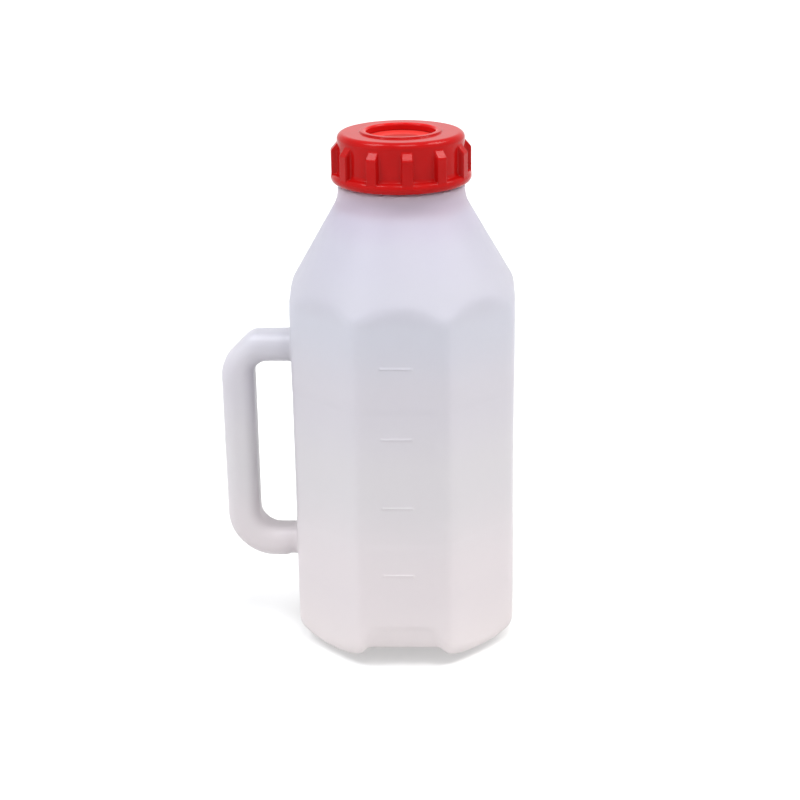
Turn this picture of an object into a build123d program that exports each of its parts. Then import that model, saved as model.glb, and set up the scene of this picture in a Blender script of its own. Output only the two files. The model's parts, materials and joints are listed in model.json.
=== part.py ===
from build123d import *
import math
import os

# Calf feeding bottle, millimetres. Z is the bottle's axis, up. The origin is on the axis in the
# plane that the bottle stands on. The handle is on -X and the graduated face looks along -Y.

# Driving dimensions: body
ACROSS_FLATS = 126.0        # octagonal body, flat to flat
EDGE_R = 6.0                # rounding of the octagon's upright edges
WALL = 1.6                  # blow-moulded wall
FLOOR = 2.0                 # floor, where the material gathers
FOOT_R = 42.0               # ring that the bottle stands on
FOOT_OUT = 26.0             # how far the rounded foot swells outwards
FOOT_RISE = 16.0            # how high the rounded foot rises
CONE_ANGLE = 30.0           # shoulder cone, from the axis
WAIST_DEPTH = 0.3           # grip panel between the handle's two arms
WAIST_Z = (75.0, 158.0)
WAIST_STEP = 2.0

# Driving dimensions: neck
NECK_R = 35.4               # plain band under the cap
NECK_Z = 261.4              # where the cone meets the band
BAND_TOP_Z = 270.2
BAND_THICK = 3.2            # annulus from the band in to the finish
FINISH_R = 31.3             # threaded finish, root radius
RIM_Z = 290.2               # sealing rim
BORE_R = 29.2               # mouth

# Driving dimensions: thread
PITCH = 5.0
THREAD_TURNS = 1.5
THREAD_DEPTH = 1.6
THREAD_ROOT_W = 2.6
THREAD_TIP_W = 1.6
THREAD_START_Z = 277.0      # middle of the bottle thread's lower end
THREAD_OVERLAP = 0.4        # how far a thread is sunk in the wall that carries it

# Driving dimensions: handle, in the XZ plane
HANDLE_OUT_X = -104.7       # outer face of the grip
GRIP_IN_X = -85.9           # finger side of the grip
ARM_TOP_Z = 184.1           # upper arm, upper and finger side
ARM_TOP_IN_Z = 166.9
ARM_LOW_IN_Z = 63.3         # lower arm, finger side and lower side
ARM_LOW_Z = 45.6
TOP_BEVEL = 17.7            # 45 degree corner at the top of the handle
BEVEL_TOP_R = 11.0
BEVEL_LOW_R = 20.0
HEEL_R = 28.0               # outer corner at the bottom
FINGER_TOP_R = 7.5
FINGER_LOW_R = 12.0
HANDLE_DEPTH = 22.0         # along Y
HANDLE_EDGE_R = 7.5
HANDLE_WALL = 1.8
ARM_ROOT_X = -61.8          # the arms end inside the body's wall
CORE_ROOT_X = -53.8         # the hollow core opens into the body

# Driving dimensions: arches cut into the foot's front and back
ARCH_RISE = 8.0
ARCH_HALF_TOP = 23.5
ARCH_HALF_LOW = 33.0
ARCH_DRAFT = 8.0            # how far the arch's sides lean in over its rounded end
ARCH_END_R = 16.0           # how the arch turns up into the face
PAD_HALF = 22.0             # the foot's flat middle, axis to arch

# Driving dimensions: graduation ribs on the front face
MARK_Z = (59.0, 99.8, 140.7, 181.5)
MARK_X = (-11.3, 6.4)
MARK_HEIGHT = 1.2
MARK_PROUD = 0.45

# Driving dimensions: screw cap
CAP_LOW_Z = 270.6
CAP_TOP_Z = 298.0
CAP_R = 35.3
CAP_IN_R = 33.3
CAP_UNDER_Z = 294.9
SHOULDER_R = 3.4
COLLAR_R = 22.8
COLLAR_IN_R = 19.0
COLLAR_TOP_Z = 299.1
COLLAR_ROUND_R = 0.7
COLLAR_FOOT = 0.3           # bevel where the collar meets the cap's top
COLLAR_LIP = 0.5            # bevel at the collar's mouth
BEAD_R = 39.0
BEAD_HEIGHT = 5.8
BEAD_ROOT_R = 36.3

# Driving dimensions: grip ribs on the cap
RIB_COUNT = 12
RIB_PHASE = 6.9             # degrees from +X
RIB_R = 38.7
RIB_ROOT_R = 34.5           # inside the skirt's wall
RIB_W = 6.2
RIB_BEVEL_Z = (289.0, 292.9)
RIB_EDGE_R = 0.9

# Driving dimensions: closure
FACE_GAP = 0.05             # between the disc and the cap that turns over it
DISC_R = 31.0
DISC_THICK = 1.6
DISC_EDGE_R = 0.4
DISH_R = (10.2, 10.8)       # bottom and top of the disc's dish
DISH_DEPTH = 0.8

# Driving dimensions: teat, hanging tip down
FLANGE_THICK = 3.0
FLANGE_IN_R = 21.0          # where the flange turns down into the teat
TEAT_WALL = 2.2
TEAT_MOUTH_R = 19.5
TEAT_OUTLINE = ((18.4, 281.0), (15.6, 262.0), (12.6, 242.0), (11.4, 226.0), (12.2, 214.0))
TEAT_NOSE = (7.0, 203.2)
TEAT_TIP_Z = 201.0
SLIT_LENGTH = 6.0
SLIT_WIDTH = 0.6
VENT_R = 0.8
VENT_AT_R = 24.5

CUT = 1.0                   # how far a cutting shape runs past the face that it cuts


def octagon(apothem, edge_r):
    """Octagon with rounded corners and flats across X and Y."""
    outline = RegularPolygon(apothem, 8, major_radius=False, rotation=22.5)
    return fillet(outline.vertices(), edge_r)


def octagon_slab(apothem, edge_r, z_low, z_high):
    """Octagonal prism with rounded upright edges."""
    return Pos(0, 0, z_low) * extrude(octagon(apothem, edge_r), z_high - z_low)


def octagon_taper(apothem_low, apothem_high, z_low, z_high):
    """Short octagonal transition between two sizes of the same octagon."""
    low = Pos(0, 0, z_low) * octagon(apothem_low, EDGE_R)
    high = Pos(0, 0, z_high) * octagon(apothem_high, EDGE_R)
    return loft([low, high], ruled=True)


def turned(edges):
    """Solid of revolution about Z from edges in the XZ plane."""
    return revolve(make_face(Plane.XZ * Curve(edges)), Axis.Z)


def turned_envelope(inset, z_floor, z_top):
    """Turned shape that trims the octagon: rounded foot, shoulder cone and neck band."""
    corner_r = ACROSS_FLATS / 2 / math.cos(math.pi / 8) + CUT - inset
    neck_r = NECK_R - inset
    slope = math.tan(math.radians(CONE_ANGLE))
    cone_inset = inset / math.cos(math.radians(CONE_ANGLE))
    neck_z = NECK_Z - (cone_inset - inset) / slope
    cone_low_z = neck_z - (corner_r - neck_r) / slope
    foot_end_r = FOOT_R + FOOT_OUT - inset
    foot = EllipticalCenterArc((FOOT_R, FOOT_RISE), FOOT_OUT - inset, FOOT_RISE - z_floor,
                               start_angle=270, arc_size=90)
    side = Polyline((foot_end_r, FOOT_RISE), (corner_r, FOOT_RISE + CUT), (corner_r, cone_low_z),
                    (neck_r, neck_z), (neck_r, z_top), (0, z_top), (0, z_floor), (FOOT_R, z_floor))
    return turned([foot, side])


def foot_arches(grow):
    """Shapes that raise the foot's front and back edges, leaving its middle and sides to stand on."""
    reach = ACROSS_FLATS / 2 + ARCH_END_R
    rise = ARCH_RISE + grow
    end_y = ACROSS_FLATS / 2 - ARCH_END_R
    end_z = ARCH_RISE + ARCH_END_R
    end_r = ARCH_END_R - grow
    half_top, half_low = ARCH_HALF_TOP + grow, ARCH_HALF_LOW + grow
    half_end = half_top - ARCH_DRAFT
    across = Polyline((-half_low, -CUT), (half_low, -CUT), (half_top, rise), (half_end, end_z),
                      (-half_end, end_z), (-half_top, rise), close=True)
    across = extrude(make_face(Plane.XZ * across), reach, both=True)
    pad_y = PAD_HALF - grow * math.sqrt(2)
    profile = [
        Polyline((end_y, rise), (pad_y + rise, rise), (pad_y - CUT, -CUT), (reach, -CUT),
                 (reach, end_z), (end_y + end_r, end_z)),
        CenterArc((end_y, end_z), end_r, 0, -90),
    ]
    back = extrude(make_face(Plane.YZ * Curve(profile)), reach, both=True) & across
    return back + mirror(back, Plane.XZ)


def handle_shape(inset, root_x):
    """The C-shaped handle, made smaller all round by inset for its hollow core."""
    out_x, in_x = HANDLE_OUT_X + inset, GRIP_IN_X - inset
    top, top_in = ARM_TOP_Z - inset, ARM_TOP_IN_Z + inset
    low, low_in = ARM_LOW_Z + inset, ARM_LOW_IN_Z - inset
    bevel = TOP_BEVEL - inset * (2 - math.sqrt(2))
    corners = {
        (out_x + bevel, top): BEVEL_TOP_R - inset,
        (out_x, top - bevel): BEVEL_LOW_R - inset,
        (out_x, low): HEEL_R - inset,
        (in_x, low_in): FINGER_LOW_R + inset,
        (in_x, top_in): FINGER_TOP_R + inset,
    }
    outer_points, finger_points = list(corners)[:3], list(corners)[3:]
    outline = Polyline((root_x, top), *outer_points, (root_x, low), (root_x, low_in),
                       *finger_points, (root_x, top_in), close=True)
    face = make_face(outline)
    for (x, z), radius in corners.items():
        corner = face.vertices().sort_by_distance(Vector(x, z, 0))[0]
        face = fillet(corner, radius)
    half_depth = HANDLE_DEPTH / 2 - inset
    solid = extrude(Plane.XZ * face, half_depth, both=True)
    by_depth = solid.edges().group_by(Axis.Y)
    side_edges = [edge for edge in by_depth[0] + by_depth[-1] if edge.center().X < root_x - CUT]
    return fillet(side_edges, HANDLE_EDGE_R - inset)


def helical_thread(root_r, tip_r, start_z):
    """One trapezoid thread rib that climbs anticlockwise, so the cap opens anticlockwise."""
    path = Helix(PITCH, PITCH * THREAD_TURNS, root_r)
    depth = tip_r - root_r
    sunk = -math.copysign(THREAD_OVERLAP, depth)
    half_root, half_tip = THREAD_ROOT_W / 2, THREAD_TIP_W / 2
    section = Polyline((sunk, -half_root), (0, -half_root), (depth, -half_tip), (depth, half_tip),
                       (0, half_root), (sunk, half_root), close=True)
    section = Pos(root_r, 0, 0) * make_face(Plane.XZ * section)
    return Pos(0, 0, start_z) * sweep(section, path=path, is_frenet=True)


def body_skin():
    """Outer shape below the finish: octagonal body with its waist panel, cone, band and handle."""
    half, waist = ACROSS_FLATS / 2, ACROSS_FLATS / 2 - WAIST_DEPTH
    low, high = WAIST_Z
    prism = octagon_slab(half, EDGE_R, -CUT, low)
    prism += octagon_taper(half, waist, low, low + WAIST_STEP)
    prism += octagon_slab(waist, EDGE_R, low + WAIST_STEP, high - WAIST_STEP)
    prism += octagon_taper(waist, half, high - WAIST_STEP, high)
    prism += octagon_slab(half, EDGE_R, high, BAND_TOP_Z + CUT)
    skin = prism & turned_envelope(0, 0, BAND_TOP_Z)
    return skin + handle_shape(0, ARM_ROOT_X) - foot_arches(0)


def body_cavity():
    """Space inside the body and the hollow handle."""
    cavity = octagon_slab(ACROSS_FLATS / 2 - WALL, EDGE_R - WALL, -CUT, BAND_TOP_Z + CUT)
    cavity &= turned_envelope(WALL, FLOOR, BAND_TOP_Z - BAND_THICK)
    cavity -= foot_arches(WALL)
    return cavity + handle_shape(HANDLE_WALL, CORE_ROOT_X)


def graduation_rib(z):
    """Short raised line on the front face."""
    inset = WAIST_DEPTH if WAIST_Z[0] < z < WAIST_Z[1] else 0
    length = MARK_X[1] - MARK_X[0]
    rib = Box(length, 2 * MARK_PROUD, MARK_HEIGHT)
    rib = fillet(rib.edges().filter_by(Axis.Z), MARK_PROUD * 0.9)
    return Pos(MARK_X[0] + length / 2, inset - ACROSS_FLATS / 2, z) * rib


def bottle():
    """Blow-moulded bottle with its integral hollow handle, threaded neck and graduation ribs."""
    finish = Pos(0, 0, BAND_TOP_Z) * extrude(Circle(FINISH_R), RIM_Z - BAND_TOP_Z)
    finish += helical_thread(FINISH_R, FINISH_R + THREAD_DEPTH, THREAD_START_Z)
    mouth_low = BAND_TOP_Z - BAND_THICK - CUT
    mouth = Pos(0, 0, mouth_low) * extrude(Circle(BORE_R), RIM_Z + CUT - mouth_low)
    shell = body_skin() + finish - body_cavity() - mouth
    for z in MARK_Z:
        shell += graduation_rib(z)
    return shell


def cap_ring():
    """Turned part of the cap: skirt with its bead, rounded shoulder and raised collar."""
    bead_high_z = CAP_LOW_Z + BEAD_HEIGHT
    bead = EllipticalCenterArc((BEAD_ROOT_R, CAP_LOW_Z + BEAD_HEIGHT / 2), BEAD_R - BEAD_ROOT_R,
                               BEAD_HEIGHT / 2, start_angle=270, arc_size=180)
    shoulder_in_r = CAP_R - SHOULDER_R
    collar_round_r = COLLAR_R - COLLAR_ROUND_R
    edges = [
        Line((CAP_IN_R, CAP_LOW_Z), (BEAD_ROOT_R, CAP_LOW_Z)),
        bead,
        Polyline((BEAD_ROOT_R, bead_high_z), (CAP_R, bead_high_z + CUT),
                 (CAP_R, CAP_TOP_Z - SHOULDER_R)),
        CenterArc((shoulder_in_r, CAP_TOP_Z - SHOULDER_R), SHOULDER_R, 0, 90),
        Polyline((shoulder_in_r, CAP_TOP_Z), (COLLAR_R + COLLAR_FOOT, CAP_TOP_Z),
                 (COLLAR_R, CAP_TOP_Z + COLLAR_FOOT), (COLLAR_R, COLLAR_TOP_Z - COLLAR_ROUND_R)),
        CenterArc((collar_round_r, COLLAR_TOP_Z - COLLAR_ROUND_R), COLLAR_ROUND_R, 0, 90),
        Polyline((collar_round_r, COLLAR_TOP_Z), (COLLAR_IN_R + COLLAR_LIP, COLLAR_TOP_Z),
                 (COLLAR_IN_R, COLLAR_TOP_Z - COLLAR_LIP), (COLLAR_IN_R, CAP_UNDER_Z),
                 (CAP_IN_R, CAP_UNDER_Z), (CAP_IN_R, CAP_LOW_Z)),
    ]
    return turned(edges)


def grip_rib():
    """One upright rib of the skirt, with a beveled top and rounded outer edges."""
    low_z = CAP_LOW_Z + BEAD_HEIGHT / 2
    bevel_low, bevel_high = RIB_BEVEL_Z
    outline = Polyline((RIB_ROOT_R, low_z), (RIB_R, low_z), (RIB_R, bevel_low), (CAP_R, bevel_high),
                       (RIB_ROOT_R, bevel_high), close=True)
    rib = extrude(make_face(Plane.XZ * outline), RIB_W / 2, both=True)
    beside = rib.edges().group_by(Axis.Y)
    outer_edges = [edge for edge in beside[0] + beside[-1]
                   if edge.center().X > CAP_R and edge.center().Z > low_z + CUT]
    return fillet(outer_edges, RIB_EDGE_R)


def screw_cap():
    """Threaded ring with twelve grip ribs and a hole in its raised collar."""
    cap = cap_ring()
    rib = grip_rib()
    for index in range(RIB_COUNT):
        cap += Rot(0, 0, RIB_PHASE + index * 360 / RIB_COUNT) * rib
    return cap + helical_thread(CAP_IN_R, CAP_IN_R - THREAD_DEPTH, THREAD_START_Z - PITCH / 2)


def sealing_disc():
    """Flat disc that closes the collar from below, with a shallow dish in its middle."""
    top_z = CAP_UNDER_Z - FACE_GAP
    disc = Pos(0, 0, top_z - DISC_THICK) * extrude(Circle(DISC_R), DISC_THICK)
    disc = fillet(disc.edges(), DISC_EDGE_R)
    dish = Cone(*DISH_R, DISH_DEPTH, align=(Align.CENTER, Align.CENTER, Align.MAX))
    return disc - Pos(0, 0, top_z) * dish


def teat_outer(flange_top, flange_low):
    """Solid shape of the teat and its flange."""
    outline_end = TEAT_OUTLINE[-1]
    edges = [
        Polyline((0, TEAT_TIP_Z), (0, flange_top), (FINISH_R, flange_top), (FINISH_R, flange_low),
                 (FLANGE_IN_R, flange_low)),
        Spline((FLANGE_IN_R, flange_low), *TEAT_OUTLINE, tangents=[(-1, -0.2), (0, -1)]),
        Spline(outline_end, TEAT_NOSE, (0, TEAT_TIP_Z), tangents=[(0, -1), (-1, 0)]),
    ]
    return turned(edges)


def teat_hollow(flange_top):
    """Space inside the teat, open at the flange."""
    inner = [(r - TEAT_WALL, z) for r, z in TEAT_OUTLINE]
    nose = (TEAT_NOSE[0] - TEAT_WALL * 0.64, TEAT_NOSE[1] + TEAT_WALL)
    tip = (0, TEAT_TIP_Z + TEAT_WALL)
    edges = [
        Polyline(tip, (0, flange_top + CUT), (TEAT_MOUTH_R, flange_top + CUT), (TEAT_MOUTH_R, flange_top)),
        Spline((TEAT_MOUTH_R, flange_top), *inner, tangents=[(-0.6, -1), (0, -1)]),
        Spline(inner[-1], nose, tip, tangents=[(0, -1), (-1, 0)]),
    ]
    return turned(edges)


def teat():
    """Rubber teat stored tip down: its flange lies on the sealing rim and it hangs in the neck."""
    flange_top = CAP_UNDER_Z - FACE_GAP - DISC_THICK
    flange_low = flange_top - FLANGE_THICK
    body = teat_outer(flange_top, flange_low) - teat_hollow(flange_top)
    slit = Box(SLIT_LENGTH, SLIT_WIDTH, 4 * TEAT_WALL) + Box(SLIT_WIDTH, SLIT_LENGTH, 4 * TEAT_WALL)
    vent = Pos(0, VENT_AT_R, flange_low + FLANGE_THICK / 2) * Cylinder(VENT_R, FLANGE_THICK + CUT)
    return body - Pos(0, 0, TEAT_TIP_Z) * slit - vent


def main():
    os.makedirs("parts", exist_ok=True)
    nodes = {
        "bottle": bottle(),
        "screw_cap": screw_cap(),
        "sealing_disc": sealing_disc(),
        "teat": teat(),
    }
    for name, shape in nodes.items():
        export_step(shape, f"parts/{name}.step")


main()
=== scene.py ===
import json
import math

import bmesh
import bpy
import numpy as np
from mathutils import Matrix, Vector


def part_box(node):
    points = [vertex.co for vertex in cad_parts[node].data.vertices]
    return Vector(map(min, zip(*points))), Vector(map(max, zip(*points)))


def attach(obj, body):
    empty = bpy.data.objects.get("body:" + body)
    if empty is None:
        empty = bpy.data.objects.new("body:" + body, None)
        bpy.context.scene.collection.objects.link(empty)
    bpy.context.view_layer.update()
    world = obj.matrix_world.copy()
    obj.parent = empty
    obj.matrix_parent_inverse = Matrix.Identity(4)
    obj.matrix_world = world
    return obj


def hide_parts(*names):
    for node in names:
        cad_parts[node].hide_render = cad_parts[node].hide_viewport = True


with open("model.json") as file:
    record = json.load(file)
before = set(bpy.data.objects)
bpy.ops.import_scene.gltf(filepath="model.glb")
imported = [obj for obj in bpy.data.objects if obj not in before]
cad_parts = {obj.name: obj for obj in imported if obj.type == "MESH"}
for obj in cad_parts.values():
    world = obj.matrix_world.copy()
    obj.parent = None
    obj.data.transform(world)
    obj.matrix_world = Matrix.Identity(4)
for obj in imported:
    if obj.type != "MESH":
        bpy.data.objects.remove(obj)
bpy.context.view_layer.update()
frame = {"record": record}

import openvdb
from mathutils import Quaternion, Vector

MM = 0.001

# What the frame gives
BOTTLE_LOW, BOTTLE_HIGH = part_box("bottle")
CAP_LOW, CAP_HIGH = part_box("screw_cap")
DISC_LOW, DISC_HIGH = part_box("sealing_disc")
TEAT_LOW, TEAT_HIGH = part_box("teat")
MOUNTS = {mount["name"]: mount["dims"] for mount in frame["record"]["mounts"]}

# Body, in metres: Z is the bottle's axis, the handle is on -X and the graduated face on -Y
HALF = BOTTLE_HIGH.x                    # octagon, axis to flat
EDGE_BLEND = 1.9 * MM
WALL = 1.6 * MM
FOOT_R = 42 * MM
FOOT_OUT = 26 * MM
FOOT_RISE = 16 * MM
FOOT_BLEND = 3 * MM
CONE_ANGLE = math.radians(30)
SCALLOP_BLEND = 2.2 * MM
WAIST_Z = (75 * MM, 158 * MM)
WAIST_DEPTH = 0.3 * MM
WAIST_STEP = 3 * MM

# Neck
NECK_R = 35.4 * MM
NECK_Z = 261.4 * MM
NECK_ROOT_Z = 235 * MM                  # inside the cone
NECK_BLEND = 2.4 * MM
BAND_TOP_Z = 270.2 * MM
BAND_EDGE_R = 0.8 * MM
FINISH_R = TEAT_HIGH.x
FINISH_WALL = 2.1 * MM
RIM_Z = BOTTLE_HIGH.z

# Threads
PITCH = 5 * MM
THREAD_TURNS = 1.5
THREAD_DEPTH = 1.6 * MM
THREAD_HALF_ROOT = 1.3 * MM
THREAD_HALF_TIP = 0.8 * MM
THREAD_Z = 277 * MM
THREAD_FADE = 0.06                      # turns over which a thread's ends run out

# Handle
HANDLE_OUT_X = BOTTLE_LOW.x
GRIP_IN_X = -85.9 * MM
ARM_TOP_Z = 184.1 * MM
ARM_TOP_IN_Z = 166.9 * MM
ARM_LOW_IN_Z = 63.3 * MM
ARM_LOW_Z = 45.6 * MM
TOP_BEVEL = 17.7 * MM
BEVEL_BLEND = (3.6 * MM, 6 * MM)         # at its upper and lower corner
HEEL_R = 28 * MM
FINGER_TOP_R = 7.5 * MM
FINGER_LOW_R = 12 * MM
HANDLE_HALF_DEPTH = 11 * MM
HANDLE_EDGE_R = 7.5 * MM
HANDLE_BLEND = 3 * MM
ROOT_X = -45 * MM
NOTCH_X = -71 * MM                      # the lower arm thins a little where it meets the body
NOTCH_LENGTH = 3 * MM
NOTCH_DEPTH = 1.1 * MM

# Arches in the foot's front and back
ARCH_RISE = 8 * MM
ARCH_HALF = 23.5 * MM
ARCH_FLARE = 1.05                       # how fast it widens below its ceiling
ARCH_DRAFT = 0.5                        # how fast it narrows up its rounded end
ARCH_END_R = 16 * MM
ARCH_BLEND = 3.5 * MM
PAD_HALF = 22 * MM                      # the foot's flat middle, axis to arch

# Graduation ribs
MARK_Z = (59 * MM, 99.8 * MM, 140.7 * MM, 181.5 * MM)
MARK_X = (-11.3 * MM, 6.4 * MM)
MARK_R = 0.6 * MM
MARK_PROUD = 0.45 * MM

# Screw cap
CAP_TOP_Z = 298 * MM
CAP_R = 35.3 * MM
CAP_IN_R = 33.3 * MM
CAP_UNDER_Z = DISC_HIGH.z + 0.05 * MM
SHOULDER_R = 3.4 * MM
COLLAR_R = 22.8 * MM
COLLAR_IN_R = MOUNTS["teat_opening"]["r_mm"] * MM
COLLAR_TOP_Z = CAP_HIGH.z - 0.25 * MM
COLLAR_ROUND_R = 0.55 * MM
COLLAR_FOOT_R = 0.3 * MM
COLLAR_LIP_R = 1.4 * MM
BEAD_ROOT_R = 36.3 * MM
BEAD_HALF = 2.9 * MM
RIB_COUNT = 12
RIB_PHASE = 6.9                         # degrees from +X
RIB_OUT_R = 38.7 * MM
RIB_HALF = 3.1 * MM
RIB_SIDE = 1.2 * MM                     # width over which a rib's side falls
RIB_BEVEL_LOW_Z = 289 * MM
RIB_BEVEL_HIGH_Z = 292.9 * MM

# Camera and studio
CAMERA_TARGET = Vector((0, 0, 140 * MM))
CAMERA_DISTANCE = 1.011
CAMERA_YAW = math.radians(1.89)
CAMERA_ELEVATION = math.radians(19.82)
CAMERA_ROLL = math.radians(0.79)
CAMERA_LENS_MM = 78.6
CAMERA_SHIFT = (-0.0055, 0.0026)
LIT_POINT = Vector((0, 0, 280 * MM))    # in the cap; the lights are placed round it and face it
FLOOR_HALF = 3.5
HORIZON_HEIGHTS = (0.25, 0.55)          # sines of the elevations between which the surroundings dim
HORIZON_LIGHT = (1.02, 0.7)


# ---------------------------------------------------------------- shapes as fields
# A field is negative inside a shape, zero on its surface and about a distance near it.

def smooth_max(a, b, width):
    """Both shapes at once, with the edge between them rounded over a width."""
    near = np.maximum(width - np.abs(a - b), 0) / width
    return np.maximum(a, b) + near ** 2 * width / 4


def smooth_min(a, b, width):
    """Either shape, with a fillet where they meet."""
    return -smooth_max(-a, -b, width)


def rounded(a, b, radius):
    """Two shapes at right angles at once, with an edge of true radius."""
    outside = np.hypot(np.maximum(a + radius, 0), np.maximum(b + radius, 0))
    return outside + np.minimum(np.maximum(a, b) + radius, 0) - radius


def ramp(t):
    """0 to 1 with level ends."""
    t = np.clip(t, 0, 1)
    return t * t * (3 - 2 * t)


def body_field(x, y, r, z):
    """Octagonal body with its waist panel, trimmed by the shoulder cone and the rounded foot."""
    waist = WAIST_DEPTH * ramp((z - WAIST_Z[0]) / WAIST_STEP) * ramp((WAIST_Z[1] - z) / WAIST_STEP)
    across = np.maximum(np.abs(x), np.abs(y))
    diagonal = (np.abs(x) + np.abs(y)) * math.sqrt(0.5)
    prism = smooth_max(across, diagonal, EDGE_BLEND) - HALF + waist
    cone = (r - NECK_R) * math.cos(CONE_ANGLE) + (z - NECK_Z) * math.sin(CONE_ANGLE)
    out = np.maximum(r - FOOT_R, 0) / FOOT_OUT
    down = np.maximum(FOOT_RISE - z, 0) / FOOT_RISE
    reach = np.maximum(np.hypot(out, down), 0.001)
    slope = np.maximum(np.hypot(out / FOOT_OUT, down / FOOT_RISE), reach / FOOT_OUT)
    foot = (reach - 1) * reach / slope
    return smooth_max(smooth_max(prism, cone, SCALLOP_BLEND), foot, FOOT_BLEND)


def arch_field(x, y, z):
    """The arches that raise the foot's front and back edges and turn up into the faces."""
    out = np.abs(y)
    end_y, end_z = HALF - ARCH_END_R, ARCH_RISE + ARCH_END_R
    below = ARCH_RISE - z
    lean = np.where(below > 0, below * ARCH_FLARE, below * ARCH_DRAFT)
    side = (np.abs(x) - ARCH_HALF - lean) * math.sqrt(0.5)
    arch = ARCH_END_R - np.hypot(np.maximum(out - end_y, 0), np.minimum(z - end_z, 0))
    arch = smooth_max(np.maximum(arch, z - end_z), (PAD_HALF + z - out) * math.sqrt(0.5), ARCH_BLEND)
    return smooth_max(side, arch, ARCH_BLEND)


def handle_field(x, y, z):
    """C-shaped handle with a beveled top corner, a round heel and rounded edges."""
    low_z = ARM_LOW_Z + NOTCH_DEPTH * ramp((x - NOTCH_X) / NOTCH_LENGTH)
    outline = rounded(HANDLE_OUT_X - x, low_z - z, HEEL_R)
    bevel = (HANDLE_OUT_X + TOP_BEVEL - x + z - ARM_TOP_Z) * math.sqrt(0.5)
    blend = BEVEL_BLEND[0] + (BEVEL_BLEND[1] - BEVEL_BLEND[0]) * ramp((ARM_TOP_Z - z) / TOP_BEVEL)
    outline = smooth_max(smooth_max(outline, z - ARM_TOP_Z, blend), bevel, blend)
    mid_z, half = (ARM_TOP_IN_Z + ARM_LOW_IN_Z) / 2, (ARM_TOP_IN_Z - ARM_LOW_IN_Z) / 2
    radius = np.where(z > mid_z, FINGER_TOP_R, FINGER_LOW_R)
    finger_gap = rounded(GRIP_IN_X - x, np.abs(z - mid_z) - half, radius)
    outline = np.maximum(np.maximum(outline, -finger_gap), x - ROOT_X)
    return rounded(outline, np.abs(y) - HANDLE_HALF_DEPTH, HANDLE_EDGE_R)


def bottle_field(points):
    """Outer skin of the bottle without its thread and graduation ribs."""
    x, y, z = points.T
    r = np.hypot(x, y)
    shape = body_field(x, y, r, z)
    shape = smooth_max(shape, -arch_field(x, y, z), ARCH_BLEND)
    shape = smooth_min(shape, handle_field(x, y, z), HANDLE_BLEND)
    neck = np.maximum(rounded(r - NECK_R, z - BAND_TOP_Z, BAND_EDGE_R), NECK_ROOT_Z - z)
    shape = smooth_min(shape, neck, NECK_BLEND)
    return smooth_min(shape, np.maximum(r - FINISH_R, NECK_Z - z), 0.8 * MM)


def cavity_field(points):
    """Inner skin of the bottle."""
    wall = np.where(points[:, 2] > BAND_TOP_Z - FINISH_WALL, FINISH_WALL, WALL)
    return bottle_field(points) + wall


def thread_run(angle, z, start_z):
    """Distance along Z from a climbing thread's middle, and how far its ends have run out."""
    turn = angle / math.tau % 1
    near = np.full(np.shape(turn + z), PITCH)
    full = np.zeros(near.shape)
    for turns in (turn, turn + 1):
        away = np.abs(z - start_z - PITCH * turns)
        run_out = ramp(turns / THREAD_FADE) * ramp((THREAD_TURNS - turns) / THREAD_FADE)
        closer = (away < near) & (run_out > 0)
        near, full = np.where(closer, away, near), np.where(closer, run_out, full)
    return near, full


def thread_field(points, root_r, start_z):
    """The neck's thread, which climbs anticlockwise and runs out at its ends."""
    x, y, z = points.T
    stands = np.hypot(x, y) - root_r
    near, full = thread_run(np.arctan2(y, x), z, start_z)
    flank = near - THREAD_HALF_ROOT + (THREAD_HALF_ROOT - THREAD_HALF_TIP) * stands / THREAD_DEPTH
    depth = THREAD_DEPTH * full - 0.6 * MM * (full == 0)
    return np.maximum(smooth_max(flank, stands - depth, 0.6 * MM), -2 * MM - stands)


def bottle_detail_field(points):
    """Outer skin with the neck's thread and the graduation ribs."""
    shape = smooth_min(bottle_field(points), thread_field(points, FINISH_R, THREAD_Z), 0.5 * MM)
    x, y, z = points.T
    middle, half = sum(MARK_X) / 2, (MARK_X[1] - MARK_X[0]) / 2 - MARK_R
    along = np.maximum(np.abs(x - middle) - half, 0)
    for mark_z in MARK_Z:
        inset = WAIST_DEPTH if WAIST_Z[0] < mark_z < WAIST_Z[1] else 0
        line_y = inset - HALF + MARK_R - MARK_PROUD
        rib = np.sqrt(along ** 2 + (y - line_y) ** 2 + (z - mark_z) ** 2) - MARK_R
        shape = smooth_min(shape, rib, 0.4 * MM)
    return shape


# ---------------------------------------------------------------- meshes from fields

def slope_of(field, points):
    """How the field changes along X, Y and Z."""
    step = 0.02 * MM
    changes = [field(points + step * axis) - field(points - step * axis) for axis in np.eye(3)]
    return np.stack(changes, 1) / (2 * step)


def settled(field, points, reach):
    """The points, moved along the field's slope on to its surface."""
    for _ in range(4):
        slope = slope_of(field, points)
        move = field(points) / np.maximum((slope ** 2).sum(1), 0.1)
        points = points - slope * np.clip(move, -reach, reach)[:, None]
    return points


def settle(mesh, field, reach):
    """Moves a bmesh's points on to the field's surface."""
    points = np.array([vert.co for vert in mesh.verts])
    for vert, point in zip(mesh.verts, settled(field, points, reach)):
        vert.co = point


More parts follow.
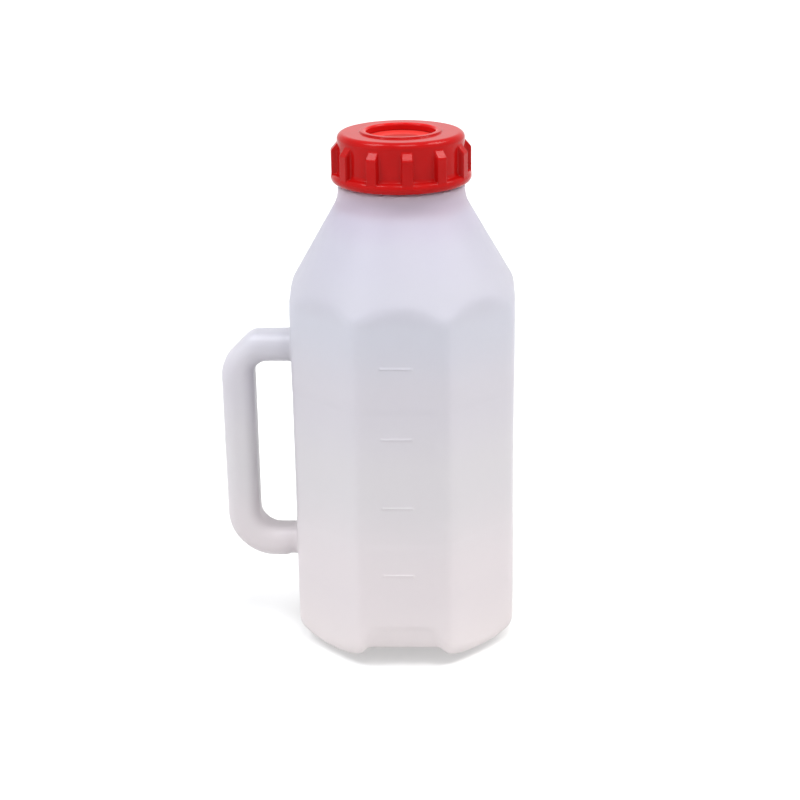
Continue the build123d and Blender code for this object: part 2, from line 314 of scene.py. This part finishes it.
def skin(field, low, high, pitch):
    """A bmesh of even quads on the field's surface, its points exactly on it."""
    margin = 3 * pitch
    axes = [np.arange(a - margin, b + margin, pitch) for a, b in zip(low, high)]
    corners = np.stack(np.meshgrid(*axes, indexing="ij"), -1).reshape(-1, 3)
    values = field(corners).reshape([len(axis) for axis in axes])
    volume = openvdb.FloatGrid(margin)
    volume.copyFromArray(values.astype(np.float32))
    points, quads = volume.convertToQuads(0.0)
    points = points * pitch + np.array([axis[0] for axis in axes])
    mesh = bmesh.new()
    verts = [mesh.verts.new(point) for point in settled(field, points, pitch)]
    for quad in quads.tolist():
        mesh.faces.new([verts[index] for index in quad])
    for _ in range(3):
        bmesh.ops.smooth_vert(mesh, verts=mesh.verts, factor=0.5,
                              use_axis_x=True, use_axis_y=True, use_axis_z=True)
    settle(mesh, field, pitch)
    return mesh


def refine(mesh, wanted, cuts):
    """Divides the edges whose middle is wanted."""
    edges = [edge for edge in mesh.edges if wanted((edge.verts[0].co + edge.verts[1].co) / 2)]
    bmesh.ops.subdivide_edges(mesh, edges=edges, cuts=cuts, use_grid_fill=True)


def cut_above(mesh, height):
    """Removes what is above a height."""
    everything = [*mesh.verts, *mesh.edges, *mesh.faces]
    bmesh.ops.bisect_plane(mesh, geom=everything, plane_co=(0, 0, height), plane_no=(0, 0, 1),
                           clear_outer=True)


def piece(name, mesh, body, material, node, crease=50):
    """A new object from a bmesh, which stands for a CAD node and rides on its body."""
    data = bpy.data.meshes.new(name)
    mesh.to_mesh(data)
    mesh.free()
    data.polygons.foreach_set("use_smooth", [True] * len(data.polygons))
    data.set_sharp_from_angle(angle=math.radians(crease))
    data.materials.append(material)
    made = bpy.data.objects.new(name, data)
    bpy.context.scene.collection.objects.link(made)
    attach(made, body)
    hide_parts(node)
    return made


def near_detail(point):
    """True by a graduation rib."""
    return (point.y < -HALF + 2 * MM and MARK_X[0] - 2 * MM < point.x < MARK_X[1] + 2 * MM
            and min(abs(point.z - z) for z in MARK_Z) < 1.9 * MM)


def near_thread(point):
    """True by the neck's thread."""
    top = THREAD_Z + PITCH * THREAD_TURNS
    return math.hypot(point.x, point.y) < NECK_R - 2 * MM and THREAD_Z - 3 * MM < point.z < top + 3 * MM


def bottle_mesh():
    """The bottle's outer skin, its inner skin and the rim that joins them."""
    mesh = skin(bottle_field, BOTTLE_LOW, BOTTLE_HIGH, 1.7 * MM)
    refine(mesh, near_detail, 3)
    refine(mesh, near_thread, 1)
    settle(mesh, bottle_detail_field, 1.7 * MM)
    cut_above(mesh, RIM_Z)
    inner = skin(cavity_field, BOTTLE_LOW, BOTTLE_HIGH, 2.6 * MM)
    bmesh.ops.reverse_faces(inner, faces=inner.faces)
    cut_above(inner, RIM_Z)
    held = bpy.data.meshes.new("inner_skin")
    inner.to_mesh(held)
    inner.free()
    mesh.from_mesh(held)
    bpy.data.meshes.remove(held)
    rim = [edge for edge in mesh.edges if edge.is_boundary]
    bmesh.ops.bridge_loops(mesh, edges=rim)
    bmesh.ops.recalc_face_normals(mesh, faces=mesh.faces)
    return mesh


def arc(middle_r, middle_z, radius, start, end, steps):
    """Points of an arc, from a start angle to an end angle in degrees."""
    angles = np.radians(np.linspace(start, end, steps))
    return [(middle_r + radius * math.cos(a), middle_z + radius * math.sin(a)) for a in angles]


def join_rings(rings):
    """A closed bmesh through rings of as many points each; a ring may be a single point."""
    mesh = bmesh.new()
    count = max(len(ring) for ring in rings)
    verts = [[mesh.verts.new(point) for point in ring] * (count // len(ring)) for ring in rings]
    for ring, following in zip(verts, verts[1:] + verts[:1]):
        if ring[0] is ring[1] and following[0] is following[1]:
            continue
        for step in range(count):
            after = (step + 1) % count
            corners = [ring[step], ring[after], following[after], following[step]]
            mesh.faces.new(list(dict.fromkeys(corners)))
    bmesh.ops.recalc_face_normals(mesh, faces=mesh.faces)
    return mesh


def lathe(outline, segments, levels):
    """A turned bmesh from a closed outline of (radius, height), smoothed by subdivision."""
    angles = [math.tau * step / segments for step in range(segments)]
    mesh = join_rings([[(radius * math.cos(a), radius * math.sin(a), height) for a in angles]
                       if radius else [(0, 0, height)] for radius, height in outline])
    held = bpy.data.meshes.new("turned")
    mesh.to_mesh(held)
    mesh.free()
    shaper = bpy.data.objects.new("turned", held)
    bpy.context.scene.collection.objects.link(shaper)
    smoothing = shaper.modifiers.new("smoothing", "SUBSURF")
    smoothing.levels = levels
    depsgraph = bpy.context.evaluated_depsgraph_get()
    smoothed = bmesh.new()
    smoothed.from_mesh(shaper.evaluated_get(depsgraph).to_mesh())
    bpy.data.objects.remove(shaper)
    bpy.data.meshes.remove(held)
    return smoothed


def skirt_radius(z):
    """Outer radius of the cap's skirt without its ribs: plain wall and rounded bead."""
    bead_z = CAP_LOW.z + BEAD_HALF
    swell = np.sqrt(np.maximum(1 - ((z - bead_z) / BEAD_HALF) ** 2, 0))
    bead = BEAD_ROOT_R + (CAP_HIGH.x - BEAD_ROOT_R) * swell - np.maximum(z - bead_z - BEAD_HALF, 0)
    return smooth_max(bead, CAP_R, 1 * MM)


def rib_radius(beside, z):
    """Outer radius over the ribs, at an angle from the nearest rib's middle."""
    slope = (RIB_OUT_R - CAP_R) / (RIB_BEVEL_HIGH_Z - RIB_BEVEL_LOW_Z)
    face = smooth_min(RIB_OUT_R, CAP_R + (RIB_BEVEL_HIGH_Z - z) * slope, 0.6 * MM)
    sideways = np.abs(np.sin(beside)) * (CAP_R + RIB_OUT_R) / 2
    stands = ramp((RIB_HALF + RIB_SIDE / 2 - sideways) / RIB_SIDE)
    root = CAP_R - 0.8 * MM
    return root + (face / np.cos(beside) - root) * stands


def cap_mesh():
    """The screw cap: bead, ribbed skirt, rounded shoulder, raised collar, hole and inner thread."""
    # Degrees from a rib's middle, closest where its side falls
    beside = np.array([0, 1.4, 2.8, 3.4, 3.7, 4, 4.3, 4.6, 4.9, 5.2, 5.6, 6.2, 8, 10.3, 12.6])
    beside = np.concatenate([-beside[:0:-1], beside, [15]])
    spacing = 360 / RIB_COUNT
    angles = np.radians(np.concatenate([RIB_PHASE + spacing * i + beside for i in range(RIB_COUNT)]))
    beside = np.radians(np.tile(beside, RIB_COUNT))
    bead_z = CAP_LOW.z + BEAD_HALF
    # Heights above the bead, closest by the bead and by the ribs' bevels
    wall = np.array([0.3, 0.6, 0.9, 1.3, 1.8, 2.6, 4.5, 7, 9.5, 11.4, 12, 12.3, 12.6, 12.9, 13.4, 14.2,
                     15, 15.7, 16.1, 16.4, 16.7, 17.1, 17.6]) * MM
    skirt = [bead_z + BEAD_HALF * math.sin(math.radians(a)) for a in range(-88, 91, 8)]
    skirt += [bead_z + BEAD_HALF + rise for rise in wall]
    inner = np.arange(CAP_UNDER_Z - 1.2 * MM, CAP_LOW.z + 0.8 * MM, -0.5 * MM)
    top, under = CAP_TOP_Z, CAP_UNDER_Z
    edge = 0.3 * MM
    crown = arc(CAP_R - SHOULDER_R, top - SHOULDER_R, SHOULDER_R, 0, 90, 11)
    crown += [(r * MM, top) for r in (31.7, 30, 27, 24.5, 23.4)]
    crown += arc(COLLAR_R + COLLAR_FOOT_R, top + COLLAR_FOOT_R, COLLAR_FOOT_R, 270, 180, 4)
    crown += arc(COLLAR_R - COLLAR_ROUND_R, COLLAR_TOP_Z - COLLAR_ROUND_R, COLLAR_ROUND_R, 0, 90, 7)
    crown += [(21.8 * MM, COLLAR_TOP_Z), (21.1 * MM, COLLAR_TOP_Z)]
    crown += arc(COLLAR_IN_R + COLLAR_LIP_R, COLLAR_TOP_Z - COLLAR_LIP_R, COLLAR_LIP_R, 90, 180, 9)
    crown += [(COLLAR_IN_R, z) for z in (COLLAR_TOP_Z - 1.7 * MM, under + 2 * MM, under + 2 * edge)]
    crown += arc(COLLAR_IN_R + edge, under + edge, edge, 180, 270, 3)
    crown += [(r * MM, under) for r in (19.6, 24, 30, 32.8)] + [(CAP_IN_R, under - edge)]
    foot = [(CAP_IN_R, CAP_LOW.z + edge), (CAP_IN_R + edge, CAP_LOW.z), (35.9 * MM, CAP_LOW.z)]

    def ring(radius, z):
        radius = np.broadcast_to(radius, angles.shape)
        return np.stack([radius * np.cos(angles), radius * np.sin(angles), np.full(angles.shape, z)], 1)

    rings = [ring(smooth_max(skirt_radius(z), rib_radius(beside, z) if z > bead_z else 0, 0.6 * MM), z)
             for z in skirt]
    rings += [ring(radius, z) for radius, z in crown]
    for z in inner:
        near, full = thread_run(angles, z, THREAD_Z - PITCH / 2)
        share = np.clip((THREAD_HALF_ROOT - near) / (THREAD_HALF_ROOT - THREAD_HALF_TIP), 0, 1)
        rings.append(ring(CAP_IN_R - THREAD_DEPTH * share * full, z))
    rings += [ring(radius, z) for radius, z in foot]
    return join_rings(rings)


def disc_mesh():
    """The sealing disc, with a shallow dish and a small moulding gate in its middle."""
    top, low, out = DISC_HIGH.z, DISC_LOW.z, DISC_HIGH.x
    edge = 0.35 * MM
    outline = [
        (0, top - 0.55 * MM), (0.7 * MM, top - 0.55 * MM), (1.1 * MM, top - 0.8 * MM),
        (9.6 * MM, top - 0.8 * MM), (10.3 * MM, top - 0.75 * MM), (10.9 * MM, top),
        (11.4 * MM, top), (18 * MM, top), (out - 2 * edge, top), (out - edge / 4, top - edge / 4),
        (out, top - 2 * edge), (out, low + 2 * edge), (out - edge / 4, low + edge / 4),
        (out - 2 * edge, low), (12 * MM, low), (0, low),
    ]
    return lathe(outline, 48, 2)


def teat_mesh():
    """The stored teat, tip down: flange, tapered shank with soft rings, rounded nose, hollow inside."""
    top, tip, out = TEAT_HIGH.z, TEAT_LOW.z, TEAT_HIGH.x
    under, wall, edge = top - 3 * MM, 2.2 * MM, 0.6 * MM
    outer = [(out - edge, top), (out, top - edge), (out, under + edge), (out - edge, under),
             (22 * MM, under), (19.4 * MM, under - edge)]
    shank = [(18.3 * MM, 281 * MM), (15.6 * MM, 262 * MM), (12.6 * MM, 242 * MM), (11.4 * MM, 226 * MM),
             (12.0 * MM, 215 * MM), (10.8 * MM, 206.5 * MM), (6.4 * MM, tip + 0.9 * MM)]
    outer += shank + [(0, tip)]
    inner = [(0, tip + wall)]
    inner += [(radius - wall * 0.9, height + wall * 0.35) for radius, height in reversed(shank)]
    inner += [(18.4 * MM, top - 1.5 * MM), (19.4 * MM, top)]
    return lathe(outer + inner, 40, 2)


# ---------------------------------------------------------------- materials

def new_material(name):
    """A material with a Principled shader, its node tree and a maker of nodes."""
    material = bpy.data.materials.new(name)
    material.use_nodes = True
    tree = material.node_tree
    return material, tree, tree.nodes["Principled BSDF"]


def noise(tree, scale, detail, distortion=0.0):
    """Solid noise in object space, scale in features per metre."""
    place = tree.nodes.new("ShaderNodeTexCoord")
    made = tree.nodes.new("ShaderNodeTexNoise")
    made.inputs["Scale"].default_value = scale
    made.inputs["Detail"].default_value = detail
    made.inputs["Distortion"].default_value = distortion
    tree.links.new(place.outputs["Object"], made.inputs["Vector"])
    return made.outputs["Fac"]


def colour_between(tree, factor, low, high):
    """Colour that runs from low to high with a factor."""
    ramp_node = tree.nodes.new("ShaderNodeValToRGB")
    ramp_node.color_ramp.elements[0].color = (*low, 1)
    ramp_node.color_ramp.elements[1].color = (*high, 1)
    ramp_node.color_ramp.elements[0].position = 0.3
    ramp_node.color_ramp.elements[1].position = 0.7
    tree.links.new(factor, ramp_node.inputs["Fac"])
    return ramp_node.outputs["Color"]


def value_between(tree, factor, low, high):
    """Number that runs from low to high with a factor."""
    made = tree.nodes.new("ShaderNodeMapRange")
    made.inputs["From Min"].default_value = 0.3
    made.inputs["From Max"].default_value = 0.7
    made.inputs["To Min"].default_value = low
    made.inputs["To Max"].default_value = high
    tree.links.new(factor, made.inputs["Value"])
    return made.outputs["Result"]


def bump(tree, height, depth, strength=1.0):
    """Surface relief of a depth in metres."""
    made = tree.nodes.new("ShaderNodeBump")
    made.inputs["Strength"].default_value = strength
    made.inputs["Distance"].default_value = depth
    tree.links.new(height, made.inputs["Height"])
    return made.outputs["Normal"]


def radial_shade(tree, colour, radii, factor):
    """Colour scaled by a factor inside the first radius from the axis, unchanged past the second:
    painted light where the factor is above one, painted shade where it is below.
    """
    place = tree.nodes.new("ShaderNodeTexCoord")
    level = tree.nodes.new("ShaderNodeVectorMath")
    level.operation = "MULTIPLY"
    level.inputs[1].default_value = (1, 1, 0)
    reach = tree.nodes.new("ShaderNodeVectorMath")
    reach.operation = "LENGTH"
    scale = tree.nodes.new("ShaderNodeMapRange")
    scale.inputs["From Min"].default_value, scale.inputs["From Max"].default_value = radii
    scale.inputs["To Min"].default_value = factor
    shade = tree.nodes.new("ShaderNodeVectorMath")
    shade.operation = "SCALE"
    tree.links.new(place.outputs["Object"], level.inputs[0])
    tree.links.new(level.outputs["Vector"], reach.inputs[0])
    tree.links.new(reach.outputs["Value"], scale.inputs["Value"])
    tree.links.new(colour, shade.inputs[0])
    tree.links.new(scale.outputs["Result"], shade.inputs["Scale"])
    return shade.outputs["Vector"]


def painted_light_by_height(tree, stops, mottle):
    """Colour by height above the foot, from (height in mm, colour) stops, stirred by some noise:
    painted light and shade by height.
    """
    place = tree.nodes.new("ShaderNodeTexCoord")
    split = tree.nodes.new("ShaderNodeSeparateXYZ")
    tree.links.new(place.outputs["Object"], split.inputs["Vector"])
    share = tree.nodes.new("ShaderNodeMapRange")
    share.inputs["From Max"].default_value = stops[-1][0] * MM
    tree.links.new(split.outputs["Z"], share.inputs["Value"])
    stirred = tree.nodes.new("ShaderNodeMath")
    stirred.operation = "MULTIPLY_ADD"
    stirred.inputs[1].default_value = mottle
    tree.links.new(noise(tree, 14, 2, 0.3), stirred.inputs[0])
    tree.links.new(share.outputs["Result"], stirred.inputs[2])
    ramp_node = tree.nodes.new("ShaderNodeValToRGB")
    ramp_node.color_ramp.interpolation = "EASE"
    elements = ramp_node.color_ramp.elements
    elements[0].color, elements[1].color = (*stops[0][1], 1), (*stops[-1][1], 1)
    for height, colour in stops[1:-1]:
        elements.new(height / stops[-1][0] + mottle / 2).color = (*colour, 1)
    tree.links.new(stirred.outputs["Value"], ramp_node.inputs["Fac"])
    return ramp_node.outputs["Color"]


def hdpe_material():
    """Natural polyethylene: milky, letting soft light through, with a satin blow-moulded surface.

    Its colour changes with height as painted light and shade: lighter and warmer towards the foot,
    cooler above, and painted shade with a painted red reflection of the cap just under the cap.
    """
    material, tree, shader = new_material("natural_hdpe")
    # Colour stops by height: the plastic's milky tone with painted light and shade laid over it. There
    # is a painted warm, lighter cast near the foot, a painted cool cast over the body and cone, and
    # painted shade with a painted red reflection of the cap under the cap.
    stops = [(0, (0.86, 0.80, 0.80)), (50, (0.78, 0.73, 0.75)), (110, (0.71, 0.69, 0.715)),
             (160, (0.68, 0.66, 0.71)), (200, (0.645, 0.65, 0.72)), (215, (0.60, 0.595, 0.665)),
             (240, (0.60, 0.59, 0.675)), (254, (0.59, 0.56, 0.665)), (262, (0.56, 0.48, 0.58)),
             (290, (0.72, 0.44, 0.49))]
    tree.links.new(painted_light_by_height(tree, stops, 0.05), shader.inputs["Base Color"])
    tree.links.new(value_between(tree, noise(tree, 160, 3), 0.36, 0.46), shader.inputs["Roughness"])
    tree.links.new(bump(tree, noise(tree, 60, 2), 0.15 * MM), shader.inputs["Normal"])
    shader.inputs["IOR"].default_value = 1.5
    shader.inputs["Transmission Weight"].default_value = 0.45
    shader.inputs["Specular IOR Level"].default_value = 0.5
    return material


def cap_material():
    """Glossy injection-moulded red plastic with faint flow marks, and painted light that brightens the
    collar's hole.
    """
    material, tree, shader = new_material("red_cap_plastic")
    colour = colour_between(tree, noise(tree, 70, 3, 0.6), (0.32, 0.003, 0.003), (0.35, 0.004, 0.004))
    # Painted light: inside the collar's hole the red is painted 1.35 times brighter, standing in for
    # light reaching the hole's inner wall.
    colour = radial_shade(tree, colour, (COLLAR_IN_R + 0.9 * MM, COLLAR_IN_R + 1.9 * MM), 1.35)
    tree.links.new(colour, shader.inputs["Base Color"])
    tree.links.new(value_between(tree, noise(tree, 500, 3), 0.15, 0.19), shader.inputs["Roughness"])
    tree.links.new(bump(tree, noise(tree, 250, 2), 0.005 * MM), shader.inputs["Normal"])
    shader.inputs["IOR"].default_value = 1.5
    shader.inputs["Specular IOR Level"].default_value = 0.1
    return material


def disc_material():
    """Brighter red plastic of the sealing disc, with a fine satin texture and painted shade that
    darkens its recessed dish.
    """
    material, tree, shader = new_material("red_disc_plastic")
    colour = colour_between(tree, noise(tree, 110, 3), (0.49, 0.025, 0.02), (0.53, 0.03, 0.024))
    # Painted shade: the recessed dish is painted 0.62 times as bright, standing in for the shade in the
    # recess.
    colour = radial_shade(tree, colour, (9.9 * MM, 10.9 * MM), 0.62)
    tree.links.new(colour, shader.inputs["Base Color"])
    tree.links.new(value_between(tree, noise(tree, 700, 2), 0.36, 0.48), shader.inputs["Roughness"])
    tree.links.new(bump(tree, noise(tree, 600, 2), 0.01 * MM), shader.inputs["Normal"])
    shader.inputs["Specular IOR Level"].default_value = 0.2
    return material


def rubber_material():
    """Pale matt rubber of the teat."""
    material, tree, shader = new_material("teat_rubber")
    colour = colour_between(tree, noise(tree, 90, 4), (0.70, 0.64, 0.54), (0.76, 0.71, 0.61))
    tree.links.new(colour, shader.inputs["Base Color"])
    tree.links.new(value_between(tree, noise(tree, 400, 3), 0.5, 0.62), shader.inputs["Roughness"])
    tree.links.new(bump(tree, noise(tree, 1200, 3), 0.02 * MM), shader.inputs["Normal"])
    return material


def floor_material():
    """Plain pale studio floor, softly lit from below, which keeps the shadows light."""
    material, tree, shader = new_material("studio_floor")
    shader.inputs["Base Color"].default_value = (0.5, 0.5, 0.5, 1)
    shader.inputs["Emission Color"].default_value = (1, 1, 1, 1)
    shader.inputs["Emission Strength"].default_value = 0.36
    shader.inputs["Roughness"].default_value = 0.9
    shader.inputs["Specular IOR Level"].default_value = 0.1
    return material


# ---------------------------------------------------------------- studio

def make_camera():
    """Camera a little above the object and a little to its right, looking at its middle."""
    level = math.cos(CAMERA_ELEVATION)
    back = Vector((math.sin(CAMERA_YAW) * level, -math.cos(CAMERA_YAW) * level,
                   math.sin(CAMERA_ELEVATION)))
    camera = bpy.data.objects.new("camera", bpy.data.cameras.new("camera"))
    camera.data.lens = CAMERA_LENS_MM
    camera.data.shift_x, camera.data.shift_y = CAMERA_SHIFT
    camera.location = CAMERA_TARGET + back * CAMERA_DISTANCE
    camera.rotation_mode = "QUATERNION"
    camera.rotation_quaternion = (-back).to_track_quat("-Z", "Y") @ Quaternion((0, 0, 1), -CAMERA_ROLL)
    bpy.context.scene.collection.objects.link(camera)
    bpy.context.scene.camera = camera


def make_light(name, way, distance, size, radiance, colour):
    """Soft square light, out from the cap along a way, aimed back at it."""
    way = Vector(way).normalized()
    data = bpy.data.lights.new(name, "AREA")
    data.size = size
    data.energy = radiance * math.pi * size ** 2
    data.color = colour
    light = bpy.data.objects.new(name, data)
    light.location = LIT_POINT + way * distance
    light.rotation_mode = "QUATERNION"
    light.rotation_quaternion = way.to_track_quat("Z", "Y")
    bpy.context.scene.collection.objects.link(light)


def make_studio():
    """Pale floor, white surroundings that dim overhead, and soft lights."""
    size = FLOOR_HALF
    data = bpy.data.meshes.new("floor")
    corners = [(-size, -size, 0), (size, -size, 0), (size, size, 0), (-size, size, 0)]
    data.from_pydata(corners, [], [(0, 1, 2, 3)])
    data.materials.append(floor_material())
    floor = bpy.data.objects.new("floor", data)
    bpy.context.scene.collection.objects.link(floor)
    world = bpy.data.worlds.new("studio")
    world.use_nodes = True
    tree = world.node_tree
    tree.nodes["Background"].inputs["Color"].default_value = (1, 1, 1, 1)
    place = tree.nodes.new("ShaderNodeTexCoord")
    split = tree.nodes.new("ShaderNodeSeparateXYZ")
    dim = tree.nodes.new("ShaderNodeMapRange")
    dim.inputs["From Min"].default_value, dim.inputs["From Max"].default_value = HORIZON_HEIGHTS
    dim.inputs["To Min"].default_value, dim.inputs["To Max"].default_value = HORIZON_LIGHT
    tree.links.new(place.outputs["Generated"], split.inputs["Vector"])
    tree.links.new(split.outputs["Z"], dim.inputs["Value"])
    tree.links.new(dim.outputs["Result"], tree.nodes["Background"].inputs["Strength"])
    bpy.context.scene.world = world
    make_light("top_left", (-0.51, -0.15, 0.85), 5.5, 2.3, 12.5, (0.95, 0.97, 1))
    make_light("top", (0.13, -0.34, 0.93), 5.5, 2.2, 10.5, (1, 1, 1))
    make_light("top_right", (0.64, 0.08, 0.76), 5.5, 2.3, 11.5, (1, 0.98, 0.96))
    make_light("key", (-0.75, -0.6, 0.25), 1.4, 0.7, 0.5, (0.93, 0.96, 1))
    make_light("fill", (0.75, -0.6, 0.25), 1.4, 0.7, 0.2, (1, 0.96, 0.95))
    bpy.context.scene.view_settings.view_transform = "Standard"


# ---------------------------------------------------------------- the object

def make_bottle():
    piece("bottle_shell", bottle_mesh(), "bottle_body", hdpe_material(), "bottle")


def make_cap():
    piece("cap_shell", cap_mesh(), "cap", cap_material(), "screw_cap", crease=80)


def make_closure():
    piece("disc_insert", disc_mesh(), "closure", disc_material(), "sealing_disc")
    piece("rubber_teat", teat_mesh(), "closure", rubber_material(), "teat")


make_camera()
make_studio()
make_bottle()
make_cap()
make_closure()
